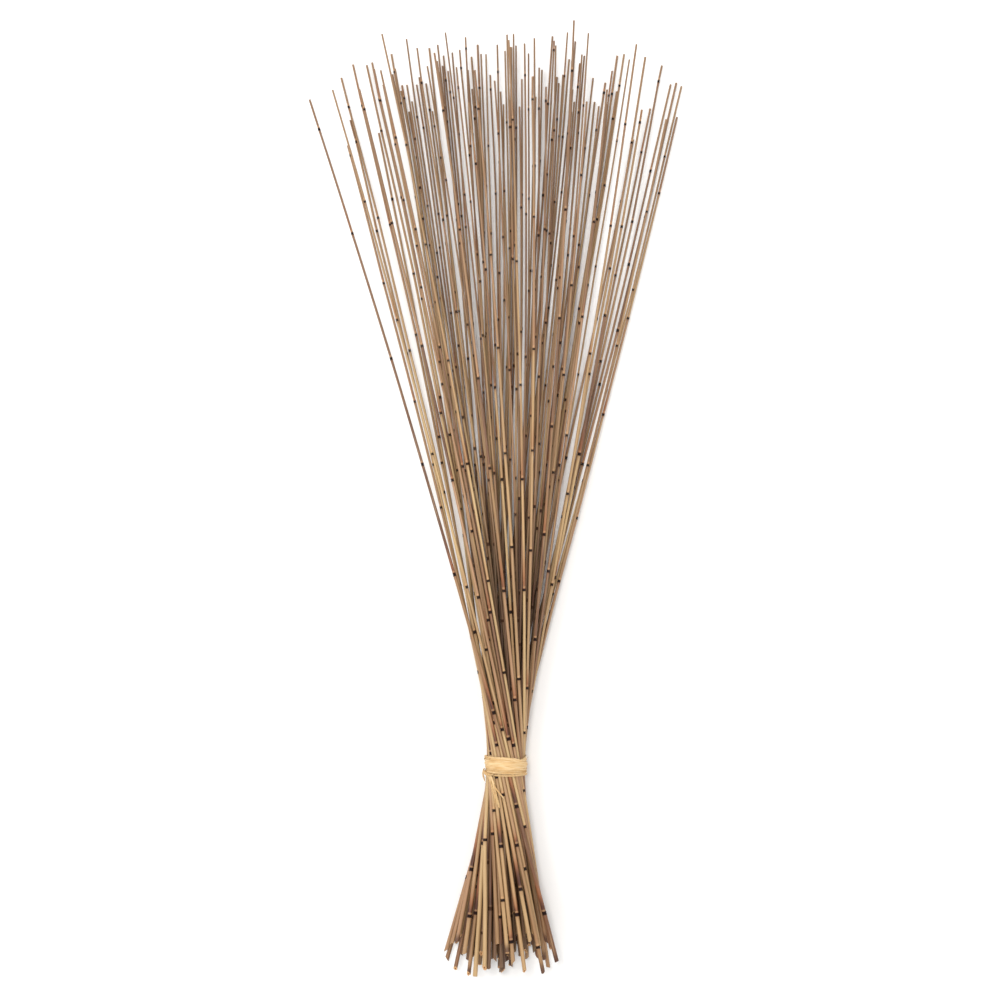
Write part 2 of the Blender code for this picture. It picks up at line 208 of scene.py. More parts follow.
def culm_line(stations, centres, radii, cut_slope, raggedness, inner=0.0):
    """One culm as a row of points, with what the node tree and the skin need to know at each."""
    butt, tip = stations[0], stations[-1]
    joints = joints_between(butt, tip)
    steps = int((tip - butt) / RING_STEP)
    places = [np.linspace(butt, tip, steps)]
    places.append((joints[:, None] + np.array(JOINT_RINGS)[None, :] / 1000).ravel())
    places.append([butt + BUTT_RINGS[0], butt + BUTT_RINGS[1], tip - TIP_RING])
    at = np.unique(np.concatenate(places))
    at = at[(at >= butt) & (at <= tip)]
    near_joint = np.abs(at[:, None] - joints[None, :]).min(axis=1) < NEAR_JOINT
    chosen = [0]
    for i in range(1, len(at) - 1):
        wide_enough = at[i] - at[chosen[-1]] > (CLOSEST_AT_JOINT if near_joint[i] else CLOSEST)
        if wide_enough and tip - at[i] > CLEAR_OF_TIP and at[i] - butt > CLEAR_OF_BUTT:
            chosen.append(i)
    chosen.append(len(at) - 1)
    at = at[chosen]

    centre = through(stations, centres, at)
    centre[:, 1] = at
    thick = np.interp(at, stations, radii)
    from_tie = at - tie.y
    thick += EXTRA_AT_TIE * np.exp(-((from_tie / EXTRA_REACH) ** 2))

    free = np.clip((np.abs(from_tie) - WOBBLE_FROM) / WOBBLE_OVER, 0, 1)
    knots = np.concatenate([[butt - PAST_ENDS], joints, [tip + PAST_ENDS]])
    bends = chance.normal(0, 0.5, (len(knots), 2)).clip(-1, 1)
    centre[:, 0] += np.interp(at, knots, bends[:, 0]) * MAX_WOBBLE * free
    centre[:, 2] += np.interp(at, knots, bends[:, 1]) * MAX_WOBBLE * free * 0.6

    to_joint = at[:, None] - joints[None, :]
    nearest = to_joint[np.arange(len(at)), np.abs(to_joint).argmin(axis=1)] * 1000
    swell = chance.uniform(0.6, 1.3)
    thick *= (
        1
        + SWELLING * swell * np.exp(-(((nearest + BESIDE_JOINT) / SWELL_WIDTH) ** 2))
        - NECKING * swell * np.exp(-(((nearest - BESIDE_JOINT) / NECK_WIDTH) ** 2))
    )
    apart = RIDGE_APART * np.interp(at - butt, [0.2, 0.8], [1.0, 0.55])
    ridges = np.exp(-(((np.abs(nearest) - apart) / RIDGE_WIDTH) ** 2))
    thick += chance.uniform(*RIDGE_HEIGHT) * ridges
    centre[:, 2] = np.maximum(centre[:, 2], thick + 0.0001)

    above = np.where(to_joint >= 0, to_joint, JOINT_REACH).min(axis=1).clip(0, JOINT_REACH)
    below = np.where(to_joint <= 0, -to_joint, JOINT_REACH).min(axis=1).clip(0, JOINT_REACH)
    segment = np.searchsorted(joints, at + 1e-6)
    own = chance.uniform(0, 1)
    tones = np.clip(own + chance.normal(0, TONE_CHANGE, len(joints) + 1), 0, 1)
    dark = chance.uniform(0, 1, len(joints) + 1) < DARK_SHARE
    tones[dark] = chance.uniform(0.93, 1.0, dark.sum())
    reach = np.concatenate([[0.01], chance.uniform(*BLUSH_LENGTH, len(joints))])[segment]
    depth = chance.uniform(0.1, 0.5, len(joints) + 1)
    strong = chance.uniform(0, 1, len(joints) + 1) < STRONG_BLUSH
    depth[strong] = chance.uniform(0.75, 1.0, strong.sum())
    depth *= np.interp(np.concatenate([[butt], joints]) - butt, [0.20, 0.30, 0.70], [1.0, 0.75, 0.35])
    depth[0] = 0.0
    blush = depth[segment] * np.exp(-((above / reach) ** 1.6))
    count = len(at)
    end = np.zeros(count)
    end[0], end[-1] = -1, 1
    facing = chance.uniform(0, 2 * math.pi, 2)
    lean = np.zeros((count, 3))
    lean[0, :2] = cut_slope * np.array([math.cos(facing[0]), math.sin(facing[0])])
    lean[-1, :2] = TIP_SLOPE * chance.uniform() * np.array([math.cos(facing[1]), math.sin(facing[1])])
    rag = np.zeros(count)
    rag[0] = raggedness
    rag[-1] = TIP_RAGGEDNESS
    return {
        "place": centre,
        "thick": thick,
        "above": above,
        "below": below,
        "along": at - butt,
        "tone": tones[segment],
        "seed": np.full(count, chance.uniform(0, 1)),
        "blush": blush,
        "inner": np.full(count, inner),
        "end": end,
        "lean": lean,
        "rag": rag,
    }


def chain_mesh(name, lines):
    """One mesh of edge chains, a chain for each line, with the lines' values as point attributes."""
    mesh = bpy.data.meshes.new(name)
    edges = []
    start = 0
    for line in lines:
        count = len(line["place"])
        edges += [(start + i, start + i + 1) for i in range(count - 1)]
        start += count
    mesh.from_pydata(np.concatenate([line["place"] for line in lines]).tolist(), edges, [])
    for key in lines[0]:
        if key == "place":
            continue
        values = np.concatenate([line[key] for line in lines]).astype(np.float32)
        kind, field = ("FLOAT_VECTOR", "vector") if values.ndim > 1 else ("FLOAT", "value")
        mesh.attributes.new(key, kind, "POINT").data.foreach_set(field, values.ravel())
    return mesh


def put(tree, kind, inputs=None, **settings):
    """Adds a node with its settings, and sets or links its inputs."""
    node = tree.nodes.new(kind)
    for name, value in settings.items():
        setattr(node, name, value)
    for key, value in (inputs or {}).items():
        if isinstance(value, bpy.types.NodeSocket):
            tree.links.new(value, node.inputs[key])
        else:
            node.inputs[key].default_value = value
    return node


def worked(tree, operation, *terms, clamp=False):
    """The result of one step of arithmetic."""
    node = put(tree, "ShaderNodeMath", dict(enumerate(terms)), operation=operation, use_clamp=clamp)
    return node.outputs[0]


def worked_vector(tree, operation, *terms):
    """The result of one step of vector arithmetic."""
    node = put(tree, "ShaderNodeVectorMath", dict(enumerate(terms)), operation=operation)
    return node.outputs["Value" if operation == "DOT_PRODUCT" else "Vector"]


def new_tree(name, kind, takes, gives):
    """An empty node tree with its named inputs and outputs."""
    tree = bpy.data.node_groups.new(name, kind)
    for label, socket in takes:
        tree.interface.new_socket(label, in_out="INPUT", socket_type=socket)
    for label, socket in gives:
        tree.interface.new_socket(label, in_out="OUTPUT", socket_type=socket)
    return tree, tree.nodes.new("NodeGroupInput").outputs, tree.nodes.new("NodeGroupOutput").inputs


def shaped(name, mesh, tree, settings):
    """A new object with the plain mesh that the node tree makes from the given one."""
    piece = bpy.data.objects.new(name, mesh)
    bpy.context.scene.collection.objects.link(piece)
    modifier = piece.modifiers.new("shape", "NODES")
    modifier.node_group = tree
    for item in tree.interface.items_tree:
        if item.name in settings and item.in_out == "INPUT":
            modifier[item.identifier] = settings[item.name]
    graph = bpy.context.evaluated_depsgraph_get()
    made = bpy.data.meshes.new_from_object(
        piece.evaluated_get(graph), preserve_all_data_layers=True, depsgraph=graph
    )
    piece.modifiers.clear()
    piece.data = made
    return piece


culm_tree, given, result = new_tree(
    "culm",
    "GeometryNodeTree",
    [
        ("Line", "NodeSocketGeometry"),
        ("Sides", "NodeSocketInt"),
        ("Hollow", "NodeSocketFloat"),
        ("Hollow Depth", "NodeSocketFloat"),
        ("Skin", "NodeSocketMaterial"),
        ("Cut", "NodeSocketMaterial"),
        ("Bore Shade", "NodeSocketMaterial"),
    ],
    [("Culm", "NodeSocketGeometry")],
)


def kept(tree, name, kind="FLOAT"):
    """A named attribute of the geometry."""
    node = put(tree, "GeometryNodeInputNamedAttribute", {"Name": name}, data_type=kind)
    return node.outputs["Attribute"]


line = put(culm_tree, "GeometryNodeMeshToCurve", {"Mesh": given["Line"]}).outputs[0]
heading = culm_tree.nodes.new("GeometryNodeInputTangent").outputs[0]
line = put(
    culm_tree,
    "GeometryNodeStoreNamedAttribute",
    {"Geometry": line, "Name": "heading", "Value": heading},
    data_type="FLOAT_VECTOR",
).outputs[0]
ring = put(culm_tree, "GeometryNodeCurvePrimitiveCircle", {"Resolution": given["Sides"], "Radius": 1.0})
ring_place = culm_tree.nodes.new("GeometryNodeInputPosition").outputs[0]
ring = put(
    culm_tree,
    "GeometryNodeStoreNamedAttribute",
    {"Geometry": ring.outputs[0], "Name": "round", "Value": ring_place},
    data_type="FLOAT_VECTOR",
).outputs[0]
tube = put(
    culm_tree,
    "GeometryNodeCurveToMesh",
    {"Curve": line, "Profile Curve": ring, "Scale": kept(culm_tree, "thick"), "Fill Caps": True},
).outputs[0]
across = kept(culm_tree, "round", "FLOAT_VECTOR")
slope = worked_vector(culm_tree, "DOT_PRODUCT", across, kept(culm_tree, "lean", "FLOAT_VECTOR"))
splits = put(
    culm_tree,
    "ShaderNodeTexNoise",
    {
        "Vector": worked_vector(
            culm_tree,
            "ADD",
            across,
            put(culm_tree, "ShaderNodeCombineXYZ", {2: worked(
                culm_tree, "MULTIPLY", kept(culm_tree, "seed"), 90.0)}).outputs[0],
        ),
        "Scale": 2.2,
        "Detail": 3.0,
    },
).outputs[0]
splits = worked(culm_tree, "SUBTRACT", splits, 0.5)
splits = worked(culm_tree, "MULTIPLY", splits, kept(culm_tree, "rag"))
reach = worked(culm_tree, "MULTIPLY", worked(culm_tree, "ADD", slope, splits), kept(culm_tree, "thick"))
reach = worked(culm_tree, "MULTIPLY", reach, kept(culm_tree, "end"))
away = put(
    culm_tree,
    "ShaderNodeVectorMath",
    {0: kept(culm_tree, "heading", "FLOAT_VECTOR"), "Scale": reach},
    operation="SCALE",
).outputs[0]
tube = put(culm_tree, "GeometryNodeSetPosition", {"Geometry": tube, "Offset": away}).outputs[0]
face_size = culm_tree.nodes.new("GeometryNodeInputMeshFaceNeighbors").outputs["Vertex Count"]
is_cap = put(
    culm_tree, "FunctionNodeCompare", {2: face_size, 3: given["Sides"]}, data_type="INT", operation="EQUAL"
).outputs[0]
rim = put(
    culm_tree, "GeometryNodeExtrudeMesh", {"Mesh": tube, "Selection": is_cap, "Offset Scale": 0.0}
).outputs
mouth = put(
    culm_tree,
    "GeometryNodeScaleElements",
    {"Geometry": rim["Mesh"], "Selection": rim["Top"], "Scale": given["Hollow"]},
).outputs[0]
inward = put(
    culm_tree,
    "ShaderNodeVectorMath",
    {0: kept(culm_tree, "heading", "FLOAT_VECTOR"),
     "Scale": worked(culm_tree, "MULTIPLY", kept(culm_tree, "end"), -1.0)},
    operation="SCALE",
).outputs[0]
bore = put(
    culm_tree,
    "GeometryNodeExtrudeMesh",
    {"Mesh": mouth, "Selection": rim["Top"], "Offset": inward, "Offset Scale": given["Hollow Depth"]},
).outputs
inside = put(
    culm_tree, "FunctionNodeBooleanMath", {0: bore["Top"], 1: bore["Side"]}, operation="OR"
).outputs[0]
flat = put(culm_tree, "FunctionNodeBooleanMath", {0: rim["Side"], 1: inside}, operation="OR").outputs[0]
whole = put(culm_tree, "GeometryNodeSetShadeSmooth", {"Geometry": bore["Mesh"], "Shade Smooth": True})
whole = put(
    culm_tree,
    "GeometryNodeSetShadeSmooth",
    {"Geometry": whole.outputs[0], "Selection": flat, "Shade Smooth": False},
)
whole = put(culm_tree, "GeometryNodeRealizeInstances", {"Geometry": whole.outputs[0]})
whole = put(culm_tree, "GeometryNodeSetMaterial", {"Geometry": whole.outputs[0], "Material": given["Skin"]})
whole = put(
    culm_tree,
    "GeometryNodeSetMaterial",
    {"Geometry": whole.outputs[0], "Selection": rim["Side"], "Material": given["Cut"]},
)
# the faces inside the bore get the darker material, which paints shade into the hollow
whole = put(
    culm_tree,
    "GeometryNodeSetMaterial",
    {"Geometry": whole.outputs[0], "Selection": inside, "Material": given["Bore Shade"]},
)
culm_tree.links.new(whole.outputs[0], result["Culm"])


def shade(red, green, blue):
    """A colour in display values from 0 to 255, as the linear colour that a shader takes."""
    parts = [part / 255 for part in (red, green, blue)]
    return (*[p / 12.92 if p <= 0.04045 else ((p + 0.055) / 1.055) ** 2.4 for p in parts], 1.0)


# the lengthwise fibres of a dry stem or leaf: fine streaks and broader patches, both drawn out along it
fibre_tree, given, result = new_tree(
    "plant_fibres",
    "ShaderNodeTree",
    [
        ("Across", "NodeSocketVector"),
        ("Along", "NodeSocketFloat"),
        ("Seed", "NodeSocketFloat"),
        ("Fineness", "NodeSocketFloat"),
        ("Length", "NodeSocketFloat"),
    ],
    [("Streaks", "NodeSocketFloat"), ("Patches", "NodeSocketFloat"), ("Flecks", "NodeSocketFloat")],
)
shift = put(
    fibre_tree,
    "ShaderNodeCombineXYZ",
    {
        0: worked(fibre_tree, "MULTIPLY", given["Seed"], 61.0),
        1: worked(fibre_tree, "MULTIPLY", given["Seed"], 23.0),
        2: worked(fibre_tree, "DIVIDE", given["Along"], given["Length"]),
    },
).outputs[0]
scaled = put(
    fibre_tree, "ShaderNodeVectorMath", {0: given["Across"], "Scale": given["Fineness"]}, operation="SCALE"
).outputs[0]
spot = worked_vector(fibre_tree, "ADD", scaled, shift)
for output, scale, detail in (("Streaks", 1.0, 3.0), ("Patches", 0.22, 2.0), ("Flecks", 2.6, 1.0)):
    noise = put(fibre_tree, "ShaderNodeTexNoise", {"Vector": spot, "Scale": scale, "Detail": detail})
    fibre_tree.links.new(noise.outputs[0], result[output])


def fibres(tree, across, along, seed, fineness, length):
    """The plant fibres group, placed in a material."""
    node = put(tree, "ShaderNodeGroup", node_tree=fibre_tree)
    for name, value in (("Across", across), ("Along", along), ("Seed", seed)):
        tree.links.new(value, node.inputs[name])
    node.inputs["Fineness"].default_value = fineness
    node.inputs["Length"].default_value = length
    return node.outputs


def ranged(tree, value, low, high, first, last):
    """A value read from low to high, as an eased value from first to last."""
    reading = {0: value, 1: low, 2: high, 3: first, 4: last}
    return put(tree, "ShaderNodeMapRange", reading, interpolation_type="SMOOTHSTEP").outputs[0]


def blended(tree, share, first, second, way="MIX"):
    """Two colours mixed by a share of the second."""
    node = put(tree, "ShaderNodeMix", {0: share, 6: first, 7: second}, data_type="RGBA", blend_type=way)
    return node.outputs[2]


def tinted(tree, factor, stops):
    """A colour read from a row of (place, colour) stops."""
    node = put(tree, "ShaderNodeValToRGB", {"Fac": factor})
    stop_row = node.color_ramp.elements
    while len(stop_row) < len(stops):
        stop_row.new(0.5)
    for element, (place, colour) in zip(stop_row, stops):
        element.position = place
        element.color = colour
    return node.outputs[0]


def attribute(tree, name):
    """A mesh attribute, as a number and a vector."""
    node = put(tree, "ShaderNodeAttribute", attribute_name=name)
    return node.outputs["Fac"], node.outputs["Vector"]


skin = bpy.data.materials.new("dry_culm_skin")
skin.use_nodes = True
tree = skin.node_tree
skin_surface = tree.nodes["Principled BSDF"]
seed = attribute(tree, "seed")[0]
along = attribute(tree, "along")[0]
above = attribute(tree, "above")[0]
below = attribute(tree, "below")[0]
tone = attribute(tree, "tone")[0]
around = attribute(tree, "round")[1]
grain = fibres(tree, around, along, seed, 3.2, 0.035)
drift = worked(tree, "MULTIPLY_ADD", grain["Patches"], 0.55, -0.275)
colour = tinted(
    tree,
    worked(tree, "ADD", tone, drift, clamp=True),
    [
        (0.00, shade(204, 174, 126)),
        (0.22, shade(194, 160, 114)),
        (0.45, shade(178, 146, 106)),
        (0.66, shade(178, 138, 106)),
        (0.84, shade(154, 124, 86)),
        (0.93, shade(128, 90, 66)),
        (1.00, shade(88, 56, 44)),
    ],
)
colour = blended(tree, ranged(tree, grain["Streaks"], 0.52, 0.74, 0.0, 0.55), colour, shade(126, 88, 58))
colour = blended(tree, ranged(tree, grain["Streaks"], 0.48, 0.28, 0.0, 0.5), colour, shade(214, 184, 138))
colour = blended(tree, ranged(tree, grain["Flecks"], 0.68, 0.80, 0.0, 0.5), colour, shade(96, 66, 46))
colour = blended(tree, ranged(tree, along, 0.30, 0.95, 0.0, 0.85), colour, shade(132, 101, 74))
colour = blended(tree, ranged(tree, along, 0.24, 0.04, 0.0, 0.36), colour, shade(130, 88, 52))
# the culms turn browner from near the butt to just above the tie and back again by the middle of the fan;
# this is partly their own colour and partly painted shade of the densely packed bunch there
browner_and_painted_shade = ranged(tree, along, 0.06, 0.30, 0.04, 0.28)
browner_and_painted_shade = worked(tree, "MULTIPLY", browner_and_painted_shade, ranged(tree, along, 0.34, 0.47, 1.0, 0.0))
colour = blended(tree, browner_and_painted_shade, colour, shade(116, 84, 56))
uneven = ranged(tree, grain["Patches"], 0.3, 0.6, 0.7, 1.15)
blush = worked(tree, "MULTIPLY", attribute(tree, "blush")[0], uneven)
colour = blended(tree, ranged(tree, blush, 0.0, 0.6, 0.0, 0.85), colour, shade(142, 84, 48))
colour = blended(tree, ranged(tree, blush, 0.40, 0.90, 0.0, 0.95), colour, shade(66, 33, 21))
stain = worked(tree, "MULTIPLY", ranged(tree, below, 0.0, 0.009, 1.0, 0.0), 0.4)
colour = blended(tree, stain, colour, shade(128, 84, 56))
collar = ranged(tree, above, 0.0032, 0.0044, 0.4, 0.0)
collar = worked(tree, "MULTIPLY", ranged(tree, above, 0.0016, 0.0026, 0.0, 1.0), collar)
colour = blended(tree, collar, colour, shade(206, 160, 112))
char = worked(tree, "MULTIPLY_ADD", grain["Flecks"], 0.008, along)
char = ranged(tree, char, 0.007, 0.016, 0.85, 0.0)
charred = worked(tree, "FRACT", worked(tree, "MULTIPLY", seed, 13.7))
char = worked(tree, "MULTIPLY", char, ranged(tree, charred, 0.84, 0.87, 0.0, 1.0))
colour = blended(tree, char, colour, shade(76, 44, 30))
to_joint = worked(tree, "MINIMUM", above, below)
to_joint = worked(tree, "ADD", to_joint, worked(tree, "MULTIPLY_ADD", grain["Flecks"], 0.0012, -0.0006))
half_band = worked(tree, "FRACT", worked(tree, "MULTIPLY", seed, 7.3))
half_band = worked(tree, "MULTIPLY_ADD", half_band, 0.0006, 0.0012)
half_band = worked(tree, "MULTIPLY", half_band, ranged(tree, along, 0.2, 0.8, 1.0, 0.68))
band = ranged(tree, worked(tree, "SUBTRACT", to_joint, half_band), -0.0001, 0.0004, 0.98, 0.0)
colour = blended(tree, band, colour, shade(26, 13, 13))
# the inner reeds are tinted dark, which stands for the deep shade between the reeds
hidden = worked(tree, "MULTIPLY", attribute(tree, "inner")[0], ranged(tree, along, 0.18, 0.30, 0.70, 0.80))
hidden = worked(tree, "MULTIPLY", hidden, ranged(tree, along, 0.34, 0.54, 1.0, 0.22))
colour = blended(tree, hidden, colour, shade(70, 44, 27))
tree.links.new(colour, skin_surface.inputs["Base Color"])
rough = ranged(tree, grain["Streaks"], 0.3, 0.7, 0.40, 0.60)
tree.links.new(worked(tree, "MULTIPLY_ADD", band, 0.15, rough), skin_surface.inputs["Roughness"])
tree.links.new(worked(tree, "MULTIPLY_ADD", band, -0.32, 0.42), skin_surface.inputs["Specular IOR Level"])
height = worked(tree, "MULTIPLY_ADD", grain["Flecks"], 0.35, grain["Streaks"])
relief = put(tree, "ShaderNodeBump", {"Strength": 0.6, "Distance": 0.0003, "Height": height})
tree.links.new(relief.outputs[0], skin_surface.inputs["Normal"])


def plain_plant(name, dark, light, scale, roughness, depth=0.0004):
    """A bare face of dry plant: two colours in a fine grain, quite matt."""
    material = bpy.data.materials.new(name)
    material.use_nodes = True
    tree = material.node_tree
    surface = tree.nodes["Principled BSDF"]
    spot = put(tree, "ShaderNodeTexCoord").outputs["Object"]
    grain = put(tree, "ShaderNodeTexNoise", {"Vector": spot, "Scale": scale, "Detail": 4.0}).outputs[0]
    tree.links.new(tinted(tree, grain, [(0.35, dark), (0.65, light)]), surface.inputs["Base Color"])
    tree.links.new(ranged(tree, grain, 0.3, 0.7, roughness, roughness + 0.12), surface.inputs["Roughness"])
    surface.inputs["Specular IOR Level"].default_value = 0.2
    relief = put(tree, "ShaderNodeBump", {"Strength": 0.7, "Distance": depth, "Height": grain})
    tree.links.new(relief.outputs[0], surface.inputs["Normal"])
    return material


cut_face = plain_plant("cut_reed_wall", shade(188, 136, 90), shade(226, 186, 140), 900.0, 0.75)
# the walls and floor of the bore are coloured darker than the cut wall: painted shade inside the hollow
bore_painted_shade = plain_plant("reed_hollow", shade(110, 72, 44), shade(172, 124, 80), 700.0, 0.85)

CULM = {"Sides": SIDES, "Hollow": 0.42, "Hollow Depth": 0.004, "Skin": skin, "Cut": cut_face, "Bore Shade": bore_painted_shade}


def add_culms(name, node, lines):
    """One piece of culms, on the root body, that stands for a rod of the frame."""
    piece = shaped(name, chain_mesh(name, lines), culm_tree, CULM)
    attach(piece, "root")
    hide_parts(node)


for node in sorted(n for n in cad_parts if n.startswith("reed_")):
    stations, centres, radii = rod_rings(node)
    slope = chance.uniform(*CUT_SLOPE)
    rag = chance.choice(RAGGEDNESS)
    add_culms("culm" + node[4:], node, [culm_line(stations, centres, radii, slope, rag)])

# Inner reeds: the same culms deeper in the bunch. Seven lie together in each of the frame's thicker
# rods at the waist; away from it they are pushed apart and spread between the reeds round them, though
# some still overlap. Their ends are uneven in length.
INNER_THICKNESS = ((-0.23, 0.0023), (-0.05, 0.0017), (0.0, 0.00128), (0.35, 0.00110), (0.80, 0.00094))
OUTER_PLACES = 6
SHORTER_TIP = 0.085
SHORTER_BUTT = 0.028
STRAY = {"tips": 0.016, "butts": 0.004}
FURTHEST_STRAY = {"tips": 0.034, "butts": 0.009}
EVENING_ROUNDS = {"tips": 14, "butts": 6}
HELD = 0.055
PLANES = 26
PLANE_REACH = (-0.235, 0.80)
RUN_ON = (0.2, 0.3)
SETTLING_ROUNDS = 260
PUSH = 0.3
ROOM = 1.04

rods = {}
for node in sorted(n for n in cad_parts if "reed" in n):
    stations, centres, radii = rod_rings(node)
    rods[node] = (stations, centres, radii)
planes = tie.y + np.linspace(*PLANE_REACH, PLANES)
from_tie = planes - tie.y
inner_nodes = [n for n in rods if n.startswith("inner_")]
paths, widths, moving, owners = [], [], [], []


def at_planes(stations, centres):
    """Across and height of a rod where it passes the planes, run on straight past its ends."""
    stretched = np.concatenate([[stations[0] - RUN_ON[0]], stations, [stations[-1] + RUN_ON[1]]])
    low = centres[0] - (centres[1] - centres[0]) * RUN_ON[0] / (stations[1] - stations[0])
    high = centres[-1] + (centres[-1] - centres[-2]) * RUN_ON[1] / (stations[-1] - stations[-2])
    return through(stretched, np.vstack([low, centres, high]), planes)[:, [0, 2]]


for node, (stations, centres, radii) in rods.items():
    middle = at_planes(stations, centres)
    if node not in inner_nodes:
        paths.append(middle)
        widths.append(np.interp(planes, stations, radii))
        moving.append(False)
        owners.append(node)
        continue
    first_turn = chance.uniform(0, 2 * math.pi)
    twist = chance.uniform(-1.2, 1.2)
    for member in range(OUTER_PLACES + 1):
        thick = np.interp(from_tie, *zip(*INNER_THICKNESS)) * chance.uniform(0.90, 1.05)
        room = np.interp(planes, stations, radii) - thick
        loose = np.clip((np.abs(from_tie) - 0.02) / 0.3, 0, 1)
        share = 1 + (chance.uniform(0.6, 1.2) - 1) * loose
        turn = first_turn + 2 * math.pi * member / OUTER_PLACES
        if member == OUTER_PLACES:
            share = chance.uniform(0, 0.3) * loose
        turn = turn + twist * from_tie + chance.uniform(-0.25, 0.25) * loose
        paths.append(middle + np.stack([np.cos(turn), np.sin(turn)], axis=1) * (room * share)[:, None])
        widths.append(thick)
        moving.append(True)
        owners.append(node)
paths, widths, moving = np.array(paths), np.array(widths), np.array(moving)

for end, plane, sign in (("butts", 1, -1), ("tips", PLANES - 3, 1)):
    across = paths[:, plane, 0].copy()
    across[moving] += chance.normal(0, STRAY[end], moving.sum())
    for turn in range(EVENING_ROUNDS[end]):
        order = np.argsort(across)
        between = (across[order[:-2]] + across[order[2:]]) / 2
        inside = order[1:-1]
        across[inside] += 0.5 * (between - across[inside]) * moving[inside]
        stray = across - paths[:, plane, 0]
        across = paths[:, plane, 0] + np.clip(stray, -FURTHEST_STRAY[end], FURTHEST_STRAY[end])
    away = np.clip((sign * from_tie - HELD) / (abs(from_tie[plane]) - HELD), 0, 1.2)
    paths[:, :, 0] += (across - paths[:, plane, 0])[:, None] * away

first, second = np.triu_indices(len(paths), 1)
apart_pairs = moving[first] | moving[second]
first, second = first[apart_pairs], second[apart_pairs]
free = (np.abs(from_tie) > HELD)[None, :] & moving[:, None]
start = paths.copy()
for turn in range(SETTLING_ROUNDS):
    apart = paths[first] - paths[second]
    distance = np.maximum(np.sqrt((apart**2).sum(axis=2)), 1e-6)
    short = np.maximum((widths[first] + widths[second]) * ROOM - distance, 0)
    push = PUSH * apart * (short / distance)[:, :, None]
    moved = np.zeros_like(paths)
    np.add.at(moved, first, push)
    np.add.at(moved, second, -push)
    paths += moved * free[:, :, None]
    shift = paths - start
    shift[:, 1:-1] += 0.25 * (shift[:, :-2] + shift[:, 2:] - 2 * shift[:, 1:-1])
    paths = np.where(free[:, :, None], start + shift, start)
    paths[:, :, 1] = np.where(free, np.maximum(paths[:, :, 1], widths), paths[:, :, 1])

for node in inner_nodes:
    stations = rods[node][0]
    lines = []
    for member in [i for i in range(len(paths)) if owners[i] == node]:
        butt = stations[0] + chance.uniform(0, SHORTER_BUTT)
        tip = stations[-1] - chance.uniform(0, SHORTER_TIP)
        at = np.concatenate([[butt], planes[(planes > butt + 0.008) & (planes < tip - 0.008)], [tip]])
        middle = np.stack([np.interp(at, planes, paths[member, :, k]) for k in (0, 1)], axis=1)
        centres = np.stack([middle[:, 0], at, middle[:, 1]], axis=1)
        thick = np.interp(at, planes, widths[member])
        rag = chance.choice(RAGGEDNESS)
        lines.append(culm_line(at, centres, thick, chance.uniform(*CUT_SLOPE), rag, inner=1.0))
    add_culms("inner_culms" + node[-3:], node, lines)

# Raffia wraps: dry palm-leaf strip, creased lengthwise, wound round the waist in several overlapping
# turns that press flat on the reeds. Each turn is laid over those below it, so its edges step down.
WRAP_STEPS = 216
ROW_STEP = 0.0004
ROWS = np.arange(-0.0150, 0.0142, ROW_STEP)
STRIP_DEPTH = 0.00022
STRIP_SAMPLES = 15
LAID_CLEAR = 0.00004
PLEAT = 0.00016
FRAYED = 0.06
WRAP_DEPTH = 0.0021
tie_radius = (tie_high.x - tie_low.x) / 2
laid = np.full((WRAP_STEPS, len(ROWS)), tie_radius - WRAP_DEPTH)


def eased(values, reach):
    """Values along a strip, smoothed over a few steps."""
    window = np.hanning(2 * reach + 3)
    padded = np.pad(values, [(reach + 1, reach + 1)] + [(0, 0)] * (values.ndim - 1), mode="edge")
    flat = padded.reshape(len(padded), -1)
    smooth = [np.convolve(flat[:, k], window / window.sum(), mode="valid") for k in range(flat.shape[1])]
    return np.stack(smooth, axis=1).reshape(values.shape)


def wander(count, reach):
    """A slow random line between about -1 and 1."""
    return eased(chance.normal(0, 1, count), reach) * math.sqrt(reach) * 0.9


def read_laid(turns, alongs):
    """How far out what is laid so far reaches, at turns round the waist and places along it."""
    step = (turns / (2 * math.pi) * WRAP_STEPS) % WRAP_STEPS
    low = np.floor(step).astype(int) % WRAP_STEPS
    row = np.clip((alongs - ROWS[0]) / ROW_STEP, 0, len(ROWS) - 1.001)
    left = row.astype(int)
    out = 0
    past = step - np.floor(step)
    for ring, ring_share in ((low, 1 - past), ((low + 1) % WRAP_STEPS, past)):
        out = out + ring_share * (laid[ring, left] * (1 - row + left) + laid[ring, left + 1] * (row - left))
    return out


def out_from_tie(turns):
    """The direction outwards from the middle of the waist, turned from straight up towards -X."""
    return np.stack([-np.sin(turns), np.zeros_like(turns), np.cos(turns)], axis=-1)


